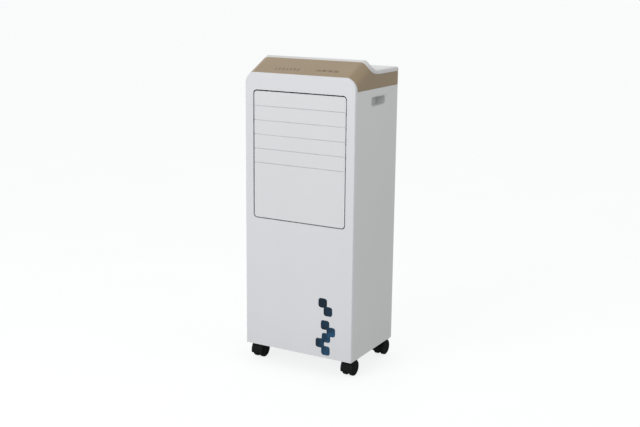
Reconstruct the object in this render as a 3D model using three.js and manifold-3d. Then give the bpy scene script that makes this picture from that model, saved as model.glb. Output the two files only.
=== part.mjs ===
// Portable evaporative air cooler on castors: a tall white cabinet with a champagne hood,
// a closing louvre outlet in front, a filter and pad cassette and a pull-out tank behind.
// Millimetres, +Z up, the outlet faces -Y. The origin is on the floor under the centre.
import * as THREE from "three";
import { mergeVertices } from "three/addons/utils/BufferGeometryUtils.js";
import Module from "manifold-3d";

const wasm = await Module();
wasm.setup();

// ---------- driving dimensions ----------
const GAP = 0.3; // between pieces that touch
const WALL = 2.5; // moulded shells

const HALF_WIDTH = 170;
const FRONT = -127;
const BACK = 127;
const BASE = 51; // underside of the cabinet
const FRONT_EDGE_R = 3;
const REAR_EDGE_R = 3;

const BAND_Z = 791; // lower edge of the hood band
const SEAM_Y = -125.5; // top edge of the front panel
const SEAM_Z = 826.6;
const SLOPE = THREE.MathUtils.degToRad(26);
const CORNER_X = 27; // rounded upper corners, across and up
const CORNER_Z = 35.6;
const LIP_Y = -52; // where the hood's slope meets the lid
const RIDGE_Y = -38.5;
const DECK_Z = 840;
const RIM_Z = 828; // lower edge of the lid's rim
const PANEL_BACK = -117; // rear edge of the front panel's sides

const OUTLET_HALF = 144.4;
const OUTLET_LOW = 423.3;
const OUTLET_HIGH = 780.3;
const OUTLET_R = 11;
const COVER_R = 8; // corners of the louvres and the blank panel in the window
const LOUVERS = 5;
const LOUVER_PITCH = 39.2;
const LOUVER_LOW = 579.8;
const LOUVER_HALF = 141.2;
const LOUVER_PIVOT_Y = -117;
const VANES = 5;
const VANE_PITCH = 52;
const VANE_PIVOT_Y = -68;
const CRANK = 9; // crank radius of the louvres and the vanes
const DUCT_LOW = 575;
const DUCT_HIGH = 781;
const DUCT_BACK = -48;

const FAN_Z = 452;
const IMPELLER_R = 84;

const CASSETTE_HALF = 137;
const CASSETTE_LOW = 263;
const CASSETTE_HIGH = 759;
const TANK_HALF = 132;
const TANK_LOW = 56;
const TANK_HIGH = 215;
const FASCIA_HALF = 138;
const FASCIA_HIGH = 221;

const KEYS = 4;
const KEY_PITCH = 18;
const KEY_FIRST_X = 43;
const KEY_ROW = 28.5; // up the slope from the seam

const GRIP_Y = 4.5;
const GRIP_Z = 757;
const GRIP_LENGTH = 80;
const GRIP_HEIGHT = 24;

// Rounded squares let into the front panel, two joined groups: centre across and up.
const SQUARE = 26.5;
const SQUARES_UPPER = [
  [79.4, 209],
  [96, 186.4],
];
const SQUARES_LOWER = [
  [87.6, 146.6],
  [105.8, 128.9],
  [90.9, 110.2],
  [71.7, 92.7],
  [89.6, 72.8],
];

const CASTOR_X = 146;
const CASTOR_Y = 98;
const CASTOR_TRAIL = 13;
const WHEEL_R = 23;

// ---------- materials ----------
const finish = (color, roughness, metalness = 0) =>
  new THREE.MeshStandardMaterial({ color, roughness, metalness });
const white = () => finish(0xe9eaee, 0.35);
const champagne = () => finish(0xa8977c, 0.38, 0.35);
const grey = () => finish(0xb8bcbc, 0.5);
const navy = () => finish(0x27486a, 0.2);
const black = () => finish(0x17181a, 0.42);
const dark = () => finish(0x33363a, 0.55);
const steel = () => finish(0xa9adb0, 0.3, 0.9);
const boardGreen = () => finish(0x1f5a3a, 0.6);
const padBrown = () => finish(0x8b6b3e, 0.9);
const meshGrey = () => finish(0x4a4f55, 0.8);
const clearPlastic = () => finish(0xcfd9dc, 0.2);

// ---------- solids ----------
const V2 = (x, y) => new THREE.Vector2(x, y);

// A closed three.js geometry as a manifold-3d solid.
function solid(geometry) {
  const bare = geometry.index ? geometry.toNonIndexed() : geometry.clone();
  for (const name of Object.keys(bare.attributes)) {
    if (name !== "position") bare.deleteAttribute(name);
  }
  const merged = mergeVertices(bare, 1e-4);
  const corners = merged.index.array;
  const faces = [];
  for (let i = 0; i < corners.length; i += 3) {
    const [a, b, c] = [corners[i], corners[i + 1], corners[i + 2]];
    if (a !== b && b !== c && c !== a) faces.push(a, b, c);
  }
  return new wasm.Manifold(
    new wasm.Mesh({
      numProp: 3,
      vertProperties: merged.attributes.position.array,
      triVerts: new Uint32Array(faces),
    }),
  );
}

function geometryOf(made) {
  const mesh = made.getMesh();
  return new THREE.BufferGeometry()
    .setAttribute("position", new THREE.BufferAttribute(mesh.vertProperties, 3))
    .setIndex(new THREE.BufferAttribute(mesh.triVerts, 1));
}

function part(name, made, material) {
  const geometry = geometryOf(made).toNonIndexed();
  geometry.computeVertexNormals();
  const mesh = new THREE.Mesh(geometry, material);
  mesh.name = name;
  return mesh;
}

const join = (...solids) => solids.reduce((a, b) => a.add(b));

// A solid shifted, or turned by degrees about one axis and then shifted.
const shifted = (made, x, y, z) => solid(geometryOf(made).translate(x, y, z));
const turned = (made, axis, degrees) => {
  const angle = THREE.MathUtils.degToRad(degrees);
  const about = new THREE.Vector3(...axis);
  return solid(geometryOf(made).applyMatrix4(new THREE.Matrix4().makeRotationAxis(about, angle)));
};
const X_AXIS = [1, 0, 0];
const Y_AXIS = [0, 1, 0];

function box(x0, x1, y0, y1, z0, z1) {
  const g = new THREE.BoxGeometry(x1 - x0, y1 - y0, z1 - z0);
  return solid(g.translate((x0 + x1) / 2, (y0 + y1) / 2, (z0 + z1) / 2));
}

const bothSides = (make) => make(-1).add(make(1));

// A box given by its span from the middle plane, made on side -1 or 1.
function sideBox(side, x0, x1, y0, y1, z0, z1) {
  return side > 0 ? box(x0, x1, y0, y1, z0, z1) : box(-x1, -x0, y0, y1, z0, z1);
}

// An outline in (Y, Z) carried from x0 to x1, in (X, Z) from y0 to y1, or in (X, Y) from z0 to z1.
function alongX(shape, x0, x1, segments = 2) {
  const g = new THREE.ExtrudeGeometry(shape, {
    depth: x1 - x0,
    bevelEnabled: false,
    curveSegments: segments,
  });
  const turn = new THREE.Matrix4().makeBasis(
    new THREE.Vector3(0, 1, 0),
    new THREE.Vector3(0, 0, 1),
    new THREE.Vector3(1, 0, 0),
  );
  return solid(g.applyMatrix4(turn).translate(x0, 0, 0));
}

function alongY(shape, y0, y1, segments = 2) {
  const g = new THREE.ExtrudeGeometry(shape, {
    depth: y1 - y0,
    bevelEnabled: false,
    curveSegments: segments,
  });
  return solid(g.rotateX(Math.PI / 2).translate(0, y1, 0));
}

function alongZ(shape, z0, z1, segments = 2) {
  const g = new THREE.ExtrudeGeometry(shape, {
    depth: z1 - z0,
    bevelEnabled: false,
    curveSegments: segments,
  });
  return solid(g.translate(0, 0, z0));
}

function rod(axis, radius, from, to, a, b, sides = 12) {
  const g = new THREE.CylinderGeometry(radius, radius, to - from, sides);
  const mid = (from + to) / 2;
  if (axis === "x") return solid(g.rotateZ(Math.PI / 2).translate(mid, a, b));
  if (axis === "y") return solid(g.translate(a, mid, b));
  return solid(g.rotateX(Math.PI / 2).translate(a, b, mid));
}

// A rectangle with its four corner radii: low-left, low-right, high-right, high-left.
function rounded(x0, x1, y0, y1, radii) {
  const [a, b, c, d] = Array.isArray(radii) ? radii : Array(4).fill(radii);
  const shape = new THREE.Shape();
  shape.moveTo(x0 + a, y0);
  shape.lineTo(x1 - b, y0);
  shape.absarc(x1 - b, y0 + b, b, -Math.PI / 2, 0);
  shape.lineTo(x1, y1 - c);
  shape.absarc(x1 - c, y1 - c, c, 0, Math.PI / 2);
  shape.lineTo(x0 + d, y1);
  shape.absarc(x0 + d, y1 - d, d, Math.PI / 2, Math.PI);
  shape.lineTo(x0, y0 + a);
  shape.absarc(x0 + a, y0 + a, a, Math.PI, 1.5 * Math.PI);
  return shape;
}

// ---------- the cabinet's outer form ----------
const slopeZ = (y) => SEAM_Z + (y - SEAM_Y) * Math.tan(SLOPE);

const curve = (a, b, c, steps) =>
  new THREE.QuadraticBezierCurve(a, b, c).getPoints(steps);

// The top line in (Y, Z): up the slope, over the ridge, down to the level deck.
const topLine = [
  V2(FRONT - 15, slopeZ(FRONT - 15)),
  ...curve(V2(RIDGE_Y - 6, slopeZ(RIDGE_Y - 6)), V2(RIDGE_Y, slopeZ(RIDGE_Y)), V2(RIDGE_Y, 863), 4),
  ...curve(V2(RIDGE_Y, 860), V2(-39, DECK_Z + 1), V2(15, DECK_Z), 7),
  V2(BACK + 15, DECK_Z),
];

// A line moved to its right-hand side, here inwards.
function inwards(line, distance) {
  return line.map((p, i) => {
    const before = line[Math.max(i - 1, 0)];
    const after = line[Math.min(i + 1, line.length - 1)];
    const along = after.clone().sub(before).normalize();
    return V2(p.x + along.y * distance, p.y - along.x * distance);
  });
}

// The cabinet's solid form, drawn in by an inset on every side but the bottom.
function cabinet(inset) {
  const low = inset > 0 ? BASE - 10 : BASE;
  const top = inwards(topLine, inset);
  const profile = new THREE.Shape([V2(FRONT - 15, low), ...top, V2(BACK + 15, low)].reverse());
  const front = Math.max(FRONT_EDGE_R - inset, 1);
  const rear = Math.max(REAR_EDGE_R - inset, 1);
  const half = HALF_WIDTH - inset;
  const plan = rounded(-half, half, FRONT + inset, BACK - inset, [front, front, rear, rear]);

  const rx = CORNER_X - inset;
  const rz = CORNER_Z - inset;
  const crown = SEAM_Z - inset / Math.cos(SLOPE);
  const section = new THREE.Shape();
  section.moveTo(-half, low - 200);
  section.lineTo(half, low - 200);
  section.lineTo(half, crown - rz);
  section.absellipse(half - rx, crown - rz, rx, rz, 0, Math.PI / 2);
  section.lineTo(-half + rx, crown);
  section.absellipse(-half + rx, crown - rz, rx, rz, Math.PI / 2, Math.PI);
  const shear = new THREE.Matrix4().set(
    1, 0, 0, 0,
    0, 1, 0, 0,
    0, Math.tan(SLOPE), 1, -SEAM_Y * Math.tan(SLOPE),
    0, 0, 0, 1,
  );
  const crowned = new THREE.ExtrudeGeometry(section, {
    depth: BACK - FRONT + 40,
    bevelEnabled: false,
    curveSegments: 5,
  })
    .rotateX(Math.PI / 2)
    .translate(0, BACK + 20, 0)
    .applyMatrix4(shear);
  return alongX(profile, -half, half)
    .intersect(alongZ(plan, low, 900, 3))
    .intersect(solid(crowned));
}

const outer = cabinet(0);
const inner = cabinet(WALL);
const shell = outer.subtract(inner);

// A region of the shell, given by an outline in (Y, Z).
const region = (points) => alongX(new THREE.Shape(points), -200, 200);

// The line in (Y, Z) where the lid parts from the hood.
const partingLine = (shift) => [
  V2(LIP_Y + shift, 880),
  ...curve(V2(LIP_Y + shift, 853), V2(-46 + shift, RIM_Z + shift + 1), V2(14, RIM_Z + shift), 7),
  V2(BACK + 10, RIM_Z + shift),
];

// ---------- shells ----------
function outletHole(y0, y1, grow = 0) {
  const outline = rounded(
    -OUTLET_HALF - grow,
    OUTLET_HALF + grow,
    OUTLET_LOW - grow,
    OUTLET_HIGH + grow,
    OUTLET_R + grow,
  );
  return alongY(outline, y0, y1, 3);
}

function squares(centres, y0, y1, grow = 0) {
  const half = SQUARE / 2 + grow;
  const outline = rounded(-half, half, -half, half, 7 + grow);
  return join(...centres.map(([x, z]) => shifted(alongY(outline, y0, y1), x, 0, z)));
}

const decoInlay = (name, centres) =>
  part(name, squares(centres, FRONT + 0.1, FRONT + 1), navy());

function frontPanel() {
  const ahead = region([
    V2(FRONT - 10, BASE - 5),
    V2(PANEL_BACK, BASE - 5),
    V2(PANEL_BACK, 798),
    V2(SEAM_Y + 1, SEAM_Z - 3),
    V2(SEAM_Y + 1, 880),
    V2(FRONT - 10, 880),
  ]);
  const aboveSill = inner.intersect(box(-200, 200, -200, 200, BASE + WALL, 900));
  const flange = outletHole(FRONT + 1, -120.5, 2.5).subtract(outletHole(FRONT - 5, -110));
  const pockets = squares([...SQUARES_UPPER, ...SQUARES_LOWER], FRONT - 5, FRONT + 1.3, GAP);
  return part(
    "front_panel",
    outer
      .intersect(ahead)
      .subtract(aboveSill)
      .subtract(outletHole(FRONT - 5, -110))
      .add(flange)
      .subtract(pockets),
    white(),
  );
}

function gripOutline(grow) {
  const y = GRIP_LENGTH / 2 + grow;
  const z = GRIP_HEIGHT / 2 + grow;
  return rounded(-y, y, -z, z, 8 + grow);
}

function sidePanel(side, name) {
  const span = sideBox(side, 155, 175, PANEL_BACK + GAP, BACK + 5, BASE, BAND_Z - GAP);
  const hole = alongX(gripOutline(2 + GAP), side * 170 - 20, side * 170 + 20, 3);
  return part(
    name,
    shell.intersect(span).subtract(shifted(hole, 0, GRIP_Y, GRIP_Z)),
    white(),
  );
}

// The finger cup behind each side panel's hand hole; its mouth faces +X before it is turned.
function handleCup(side, name) {
  const mouth = HALF_WIDTH - GAP;
  const depth = 28;
  const behind = HALF_WIDTH - WALL - GAP;
  const body = alongX(gripOutline(2), mouth - depth, mouth, 3);
  const flange = alongX(gripOutline(6), behind - 2, behind, 1);
  const hollow = alongX(gripOutline(0), mouth - depth + 2, mouth + 5, 3);
  const cup = part(name, join(body, flange).subtract(hollow), white());
  cup.position.set(0, GRIP_Y, GRIP_Z);
  if (side < 0) cup.rotation.z = Math.PI;
  return cup;
}

function rearPanel() {
  const plate = shell.intersect(box(-154.7, 154.7, 118, BACK + 5, BASE, BAND_Z - GAP));
  const holes = join(
    box(-CASSETTE_HALF - 1, CASSETTE_HALF + 1, 110, 140, CASSETTE_LOW - 1, CASSETTE_HIGH + 1),
    box(-FASCIA_HALF - 1, FASCIA_HALF + 1, 110, 140, TANK_LOW - 2, FASCIA_HIGH + 1),
    rod("y", 8.4, 110, 140, 110, 242),
  );
  const ledge = box(-150, 150, 108, BACK - 1, FASCIA_HIGH + 2, FASCIA_HIGH + 4.5);
  const gland = rod("y", 8.4, 100, 140, 110, 242);
  return part("rear_panel", plate.subtract(holes).add(ledge.subtract(gland)), white());
}

function controlHood() {
  const behind = region([
    V2(PANEL_BACK + GAP, BAND_Z),
    V2(BACK + 10, BAND_Z),
    ...partingLine(-GAP / 2).reverse(),
    V2(SEAM_Y + 1 + GAP, 880),
    V2(SEAM_Y + 1 + GAP, SEAM_Z - 3),
    V2(PANEL_BACK + GAP, 798),
  ]);
  const openings = [];
  for (let k = 0; k < KEYS; k++) {
    openings.push(box(keyX(k) - 6.8, keyX(k) + 6.8, KEY_ROW - 4.3, KEY_ROW + 4.3, -10, 10));
  }
  const slope = THREE.MathUtils.radToDeg(SLOPE);
  const cuts = shifted(turned(join(...openings), X_AXIS, slope), 0, SEAM_Y, SEAM_Z);
  return part("control_hood", shell.intersect(behind).subtract(cuts), champagne());
}

function topCover() {
  const above = region([...partingLine(GAP / 2), V2(BACK + 10, 890), V2(LIP_Y, 890)].reverse());
  return part("top_cover", shell.intersect(above), white());
}

// ---------- base ----------
function baseTray() {
  const x = HALF_WIDTH - WALL - GAP;
  const y0 = PANEL_BACK + GAP;
  const y1 = BACK - WALL - GAP;
  const floor = alongZ(rounded(-x, x, y0, y1, [1, 1, 7, 7]), BASE, BASE + 3);
  const rims = join(
    bothSides((s) => sideBox(s, x - 2, x, y0 + 1, 90, BASE + 1, BASE + 14)),
    box(1 - x, x - 1, y0, y0 + 2, BASE + 2, BASE + 12),
  );
  const rails = bothSides((s) => sideBox(s, 100, 110, -100, 116, BASE + 1, TANK_LOW - GAP));
  let tray = join(floor, rims, rails);
  for (const [x0, y] of castorSpots) tray = tray.add(rod("z", 9, BASE + 1, BASE + 20, x0, y));
  for (const [x0, y] of castorSpots) {
    tray = tray.subtract(rod("z", 4.4, BASE - 1, BASE + 17, x0, y));
  }
  return part("base_tray", tray, dark());
}

// ---------- outlet ----------
const louverZ = (k) => LOUVER_LOW + LOUVER_PITCH * (LOUVERS - k + 0.5);
const vaneX = (k) => VANE_PITCH * (k - (VANES + 1) / 2);
const keyX = (k) => KEY_FIRST_X + KEY_PITCH * k;
const castorSpots = [
  [-CASTOR_X, -CASTOR_Y],
  [CASTOR_X, -CASTOR_Y],
  [-CASTOR_X, CASTOR_Y],
  [CASTOR_X, CASTOR_Y],
];

function outletFrame() {
  const cheek = (s) => sideBox(s, 142.2, 144.1, -120.2, DUCT_BACK, DUCT_LOW - 2, DUCT_HIGH + 2);
  const walls = join(
    bothSides(cheek),
    box(-143, 143, -116, DUCT_BACK - 1, DUCT_HIGH, DUCT_HIGH + 1.5),
    box(-143, 143, -116, DUCT_BACK - 1, DUCT_LOW - 1.5, DUCT_LOW),
    box(-143.5, 143.5, -115.8, -114, OUTLET_LOW + 2, DUCT_LOW - 1),
  );
  const flange = bothSides((s) =>
    sideBox(s, 143, 150, DUCT_BACK - 2.5, DUCT_BACK - 0.5, DUCT_LOW, DUCT_HIGH),
  );
  let frame = walls.add(flange);
  for (let k = 1; k <= LOUVERS; k++) {
    const z = louverZ(k);
    frame = frame
      .subtract(rod("x", 2.5, -150, 150, LOUVER_PIVOT_Y, z, 8))
      .subtract(box(-145, 145, -125, LOUVER_PIVOT_Y, z - 2.2, z + 2.2));
  }
  for (let k = 1; k <= VANES; k++) {
    frame = frame.subtract(rod("z", 2.5, DUCT_LOW - 5, DUCT_HIGH + 5, vaneX(k), VANE_PIVOT_Y, 8));
  }
  return part("outlet_frame", frame, grey());
}

// The flat cover under the louvres, with a stiffening rim behind it.
function blankPanel() {
  const high = LOUVER_LOW - 0.4;
  const outline = (inset) =>
    rounded(
      -LOUVER_HALF + inset,
      LOUVER_HALF - inset,
      OUTLET_LOW + 2.7 + inset,
      high - inset,
      [COVER_R, COVER_R, 1, 1],
    );
  const plate = alongY(outline(0), -126, -123.6);
  const rim = alongY(outline(2.5), -124, -116.3).subtract(alongY(outline(4.5), -130, -110));
  return part("blank_panel", plate.add(rim), white());
}

// A blade about its own pivot: the crank outside the left cheek drives it.
const CRANK_REST = 10; // degrees
const CRANK_Y = CRANK * Math.cos(THREE.MathUtils.degToRad(CRANK_REST));
const CRANK_Z = CRANK * Math.sin(THREE.MathUtils.degToRad(CRANK_REST));

function louver(k) {
  const face = -126 - LOUVER_PIVOT_Y;
  const half = LOUVER_PITCH / 2 - 0.4;
  const top = k === 1 ? half + 1.6 : half;
  // the lip under each blade laps behind the blade below it
  const section = new THREE.Shape([
    V2(face, 0.6 - half),
    V2(face + 0.6, -half),
    V2(face + 2.7, -half),
    V2(face + 2.7, -half - 2.2),
    V2(face + 3.6, -half - 2.2),
    V2(face + 3.6, 3 - half),
    V2(face + 2.4, 4.2 - half),
    V2(face + 2.4, top),
    V2(face + 0.6, top),
    V2(face, top - 0.6),
  ]);
  let plate = alongX(section, -LOUVER_HALF, LOUVER_HALF);
  if (k === 1) {
    const outline = rounded(-LOUVER_HALF, LOUVER_HALF, -LOUVER_PITCH, top, [1, 1, COVER_R, COVER_R]);
    plate = plate.intersect(alongY(outline, -20, 20));
  }
  const rib = new THREE.Shape([V2(face + 2, 14), V2(face + 2, -14), V2(2.5, -3), V2(2.5, 3)]);
  const arm = turned(box(-149.5, -147.5, 0, CRANK, -2.4, 2.4), X_AXIS, CRANK_REST);
  const blade = join(
    plate,
    alongX(rib, -140.6, -138.4),
    alongX(rib, 138.4, 140.6),
    alongX(rib, -1, 1),
    rod("x", 2, 139, 146.4, 0, 0, 8),
    rod("x", 2, -149.5, -139, 0, 0, 8),
    arm,
    rod("x", 1.5, -153, -149, CRANK_Y, CRANK_Z, 8),
  );
  const mesh = part("louver_" + k, blade, white());
  mesh.position.set(0, LOUVER_PIVOT_Y, louverZ(k));
  return mesh;
}

function louverLink() {
  const reach = LOUVER_PITCH * (LOUVERS - 1);
  let bar = box(-152.5, -150.2, -2.8, 2.8, -4, reach + 4);
  for (let k = 0; k < LOUVERS; k++) {
    bar = bar.subtract(rod("x", 1.9, -160, -145, 0, LOUVER_PITCH * k, 8));
  }
  const mesh = part("louver_link", bar, grey());
  mesh.position.set(0, LOUVER_PIVOT_Y + CRANK_Y, louverZ(LOUVERS) + CRANK_Z);
  return mesh;
}

function vane(k) {
  const outline = rounded(-1, 1, -17, 17, 0.9);
  const blade = join(
    alongZ(outline, DUCT_LOW + 2, DUCT_HIGH - 2, 1),
    rod("z", 2, DUCT_LOW - 7, DUCT_HIGH + 2, 0, 0, 8),
    box(-2.4, 2.4, 0, CRANK + 2.4, DUCT_LOW - 6, DUCT_LOW - 4),
    rod("z", 1.5, DUCT_LOW - 10, DUCT_LOW - 5, 0, CRANK, 8),
  );
  const mesh = part("vane_" + k, blade, black());
  mesh.position.set(vaneX(k), VANE_PIVOT_Y, 0);
  return mesh;
}

function vaneLink() {
  const z = DUCT_LOW - 8.8;
  const reach = vaneX(VANES) + 4;
  let bar = box(-reach, reach, -2.8, 2.8, z, z + 2.3);
  for (let k = 1; k <= VANES; k++) bar = bar.subtract(rod("z", 1.9, z - 5, z + 5, vaneX(k), 0, 8));
  const mesh = part("vane_link", bar, grey());
  mesh.position.y = VANE_PIVOT_Y + CRANK;
  return mesh;
}

function swingMotor() {
  const top = DUCT_LOW - 13;
  const can = rod("z", 20, top - 18, top, 0, 0, 20);
  const ear = (s) => sideBox(s, 15, 30, -5, 5, top - 6, top - 4);
  const post = (s) => rod("z", 3.2, top - 6, DUCT_LOW - 2 - GAP, s * 27, 0, 8);
  const shaft = rod("z", 2.5, top - 1, DUCT_LOW - 7 - GAP, 0, 0, 8);
  const mesh = part("swing_motor", join(can, bothSides(ear), bothSides(post), shaft), steel());
  mesh.position.y = VANE_PIVOT_Y;
  return mesh;
}

// ---------- blower ----------
// The scroll's cavity outline in (X, Z) about the fan's axis, opening up into the plenum.
function scrollOutline(grow) {
  const points = [];
  const steps = 18;
  const start = THREE.MathUtils.degToRad(50);
  const sweep = THREE.MathUtils.degToRad(230);
  for (let i = 0; i <= steps; i++) {
    const t = i / steps;
    const r = 92 + 44 * t + grow;
    const a = start - sweep * t;
    points.push(V2(r * Math.cos(a), r * Math.sin(a)));
  }
  const wide = 139 + grow;
  const shoulder = 140;
  points.push(V2(-wide, shoulder), V2(-wide, DUCT_HIGH - FAN_Z + grow));
  points.push(V2(wide, DUCT_HIGH - FAN_Z + grow), V2(wide, shoulder - grow));
  return points;
}

const scrollPrism = (grow, y0, y1) => alongY(new THREE.Shape(scrollOutline(grow)), y0, y1);

const SCROLL_FRONT = DUCT_BACK + GAP;
const SCROLL_BACK = 45;

function scrollHousing() {
  const wall = scrollPrism(2, SCROLL_FRONT, SCROLL_BACK).subtract(scrollPrism(0, -80, 80));
  const low = box(-200, 200, SCROLL_FRONT, SCROLL_FRONT + 2, -200, DUCT_LOW - FAN_Z);
  const plate = scrollPrism(1, SCROLL_FRONT, SCROLL_FRONT + 2).intersect(low);
  const hole = rod("y", 14, -80, 0, 0, 0);
  const mesh = part("scroll_housing", wall.add(plate).subtract(hole), grey());
  mesh.position.z = FAN_Z;
  return mesh;
}

function inletRing() {
  const plate = scrollPrism(2, SCROLL_BACK + GAP, SCROLL_BACK + 2.3);
  const collar = rod("y", 65, 38, SCROLL_BACK + 2.3, 0, 0, 24);
  const hole = rod("y", 62, 30, 60, 0, 0, 24);
  const mesh = part("inlet_ring", plate.add(collar).subtract(hole), grey());
  mesh.position.z = FAN_Z;
  return mesh;
}

function impeller() {
  const blades = 20;
  const disc = rod("y", IMPELLER_R - 1, -38, -35.5, 0, 0, 24);
  const hub = rod("y", 13, -40, -18, 0, 0);
  const ring = rod("y", IMPELLER_R, 31, 34, 0, 0, 24).subtract(rod("y", 68, 20, 40, 0, 0, 24));
  let wheel = join(disc, hub, ring);
  for (let i = 0; i < blades; i++) {
    const blade = turned(box(-8.5, 8.5, -36, 32, -0.8, 0.8), Y_AXIS, 28);
    wheel = wheel.add(turned(shifted(blade, 74.5, 0, 0), Y_AXIS, (360 * i) / blades));
  }
  wheel = wheel.subtract(rod("y", 4.3, -60, 0, 0, 0));
  const mesh = part("impeller", wheel, black());
  mesh.position.z = FAN_Z;
  return mesh;
}

function fanMotor() {
  const flangeY = SCROLL_FRONT - GAP;
  const body = join(
    rod("y", 42, -96, flangeY - 6, 0, 0, 24),
    rod("y", 34, -104, -95, 0, 0, 16),
    rod("y", 30, flangeY - 7, flangeY, 0, 0, 16),
    alongY(rounded(-40, 40, -40, 40, 8), flangeY - 2, flangeY),
  );
  const mesh = part("fan_motor", body.subtract(rod("y", 4.3, -98, 0, 0, 0)), steel());
  mesh.position.z = FAN_Z;
  return mesh;
}

function motorShaft() {
  const mesh = part("motor_shaft", rod("y", 4, -97, -19, 0, 0), steel());
  mesh.position.z = FAN_Z;
  return mesh;
}

// ---------- filter and pad cassette ----------
function rearGrille() {
  const [x, z0, z1] = [CASSETTE_HALF, CASSETTE_LOW, CASSETTE_HIGH];
  const face = BACK - 0.2;
  const border = 14;
  const inner = box(-x + border, x - border, 100, 140, z0 + border, z1 - border);
  let grille = box(-x, x, 110, face, z0, z1).subtract(inner);
  const rail = (s) => sideBox(s, x - 1.8, x, 74, 112, z0, z1);
  grille = join(grille, bothSides(rail), box(1 - x, x - 1, 75, 112, z0 + 0.2, z0 + 2));
  const slats = 24;
  const pitch = (z1 - z0 - 2 * border) / slats;
  for (let i = 0; i < slats; i++) {
    const slat = turned(box(-x + border - 1, x - border + 1, -5, 5, -1, 1), X_AXIS, -35);
    grille = grille.add(shifted(slat, 0, face - 5, z0 + border + pitch * (i + 0.5)));
  }
  grille = grille.add(box(-2, 2, 112, 118.5, z0 + border - 1, z1 - border + 1));
  // finger notch in the top border
  grille = grille.subtract(box(-35, 35, face - 9, 140, z1 - 11, z1 - 3));
  return part("rear_grille", grille, white());
}

function dustFilter() {
  const x = CASSETTE_HALF - 2.2;
  return part(
    "dust_filter",
    box(-x, x, 106.5, 109.2, CASSETTE_LOW + 2.5, CASSETTE_HIGH - 1),
    meshGrey(),
  );
}

function coolingPad() {
  const x = CASSETTE_HALF - 2.2;
  return part(
    "cooling_pad",
    box(-x, x, 76, 106, CASSETTE_LOW + 2.5, CASSETTE_HIGH - 1),
    padBrown(),
  );
}

// ---------- water ----------
function waterDistributor() {
  const [y0, y1, z0, z1] = [76, 106, 762, 777];
  let tray = box(-132, 132, y0, y1, z0, z1).subtract(box(-130, 130, y0 + 2, y1 - 2, z0 + 2, 790));
  tray = tray.add(rod("x", 4.6, -140, -131, 91, 770)).subtract(
    rod("x", 2.8, -145, -120, 91, 770, 8),
  );
  for (let i = 0; i < 9; i++) {
    tray = tray.subtract(rod("z", 2, 750, 766, -112 + 28 * i, 91, 6));
  }
  return part("water_distributor", tray, grey());
}

function waterTank() {
  const x = TANK_HALF;
  const [y0, y1] = [-100, 122];
  const basin = box(-x, x, y0, y1, TANK_LOW, TANK_HIGH).subtract(
    box(-x + 3, x - 3, y0 + 3, y1 - 3, TANK_LOW + 3, TANK_HIGH + 10),
  );
  const face = BACK - 0.2;
  const fascia = box(-FASCIA_HALF, FASCIA_HALF, 121, face, TANK_LOW - 1, FASCIA_HIGH);
  const cup = box(-48, 48, 104, 122, 178, 206);
  const grip = box(-45.5, 45.5, 106.5, 140, 180.5, 203.5);
  const seat = rod("y", 12, 121, 140, -100, 74, 16);
  const drain = rod("y", 5.4, 100, 140, -100, 74, 12);
  return part(
    "water_tank",
    join(basin, fascia, cup).subtract(grip).subtract(seat).subtract(drain),
    clearPlastic(),
  );
}

function drainPlug() {
  const plug = join(
    rod("y", 9, 121.4, 126.4, 0, 0, 16),
    rod("y", 5, 110, 122, 0, 0, 12),
  ).subtract(box(-6, 6, 124.4, 130, -1.2, 1.2));
  const mesh = part("drain_plug", plug, dark());
  mesh.position.set(-100, 0, 74);
  return mesh;
}

const PUMP_X = -102;
const HOSE_Y = 58;

function pump() {
  const body = join(
    box(PUMP_X - 24, PUMP_X + 24, 50, 96, 60, 74),
    rod("z", 20, 73, 104, PUMP_X, 74, 16),
    box(PUMP_X - 10, PUMP_X + 10, 50, 74, 84, 98),
    rod("z", 4.6, 97, 112, PUMP_X, HOSE_Y, 12),
  );
  const bracket = join(
    box(-128.5, -119, 67, 72, 70, 229),
    box(-166, -119, 67, 72, 222, 229),
    box(-167.2, -165, 56, 78, 212, 240),
  );
  const bore = rod("z", 2.8, 90, 120, PUMP_X, HOSE_Y, 12);
  return part("pump", join(body, bracket).subtract(bore), dark());
}

function pumpHose() {
  const line = new THREE.CatmullRomCurve3(
    [
      [PUMP_X, HOSE_Y, 112.4],
      [PUMP_X, HOSE_Y, 190],
      [PUMP_X - 4, HOSE_Y, 232],
      [-128, HOSE_Y, 262],
      [-149, HOSE_Y, 282],
      [-154, HOSE_Y, 305],
      [-154, HOSE_Y, 520],
      [-154, HOSE_Y, 700],
      [-155, 63, 742],
      [-155, 80, 764],
      [-150, 91, 770],
      [-142, 91, 770],
    ].map((p) => new THREE.Vector3(...p)),
    false,
    "centripetal",
  );
  const ring = new THREE.Shape().absarc(0, 0, 4.8, 0, 2 * Math.PI);
  const g = new THREE.ExtrudeGeometry(ring, {
    steps: 38,
    extrudePath: line,
    bevelEnabled: false,
    curveSegments: 4,
  });
  return part("pump_hose", solid(g), clearPlastic());
}

// ---------- electrics ----------
// Everything under the sloping panel is drawn level and turned with it about the seam.
function slopeGroup() {
  const group = new THREE.Group();
  group.position.set(0, SEAM_Y, SEAM_Z);
  group.rotation.x = SLOPE;
  for (let k = 0; k < KEYS; k++) {
    const cap = alongZ(rounded(-6.4, 6.4, -3.9, 3.9, 2.2), -6.5, 0.6);
    const skirt = box(-8, 8, -5.4, 5.4, -4.2, -2.9);
    const mesh = part("key_" + (k + 1), cap.add(skirt), champagne());
    mesh.position.set(keyX(k), KEY_ROW, 0);
    group.add(mesh);
  }
  const board = join(
    box(-110, 118, 6, 62, -12, -10.4),
    box(-80, -8, 18, 32, -11, -6),
    ...Array.from({ length: KEYS }, (_, k) =>
      box(keyX(k) - 3, keyX(k) + 3, KEY_ROW - 3, KEY_ROW + 3, -11, -8.2),
    ),
  );
  group.add(part("control_board", board, boardGreen()));
  return group;
}

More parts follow.
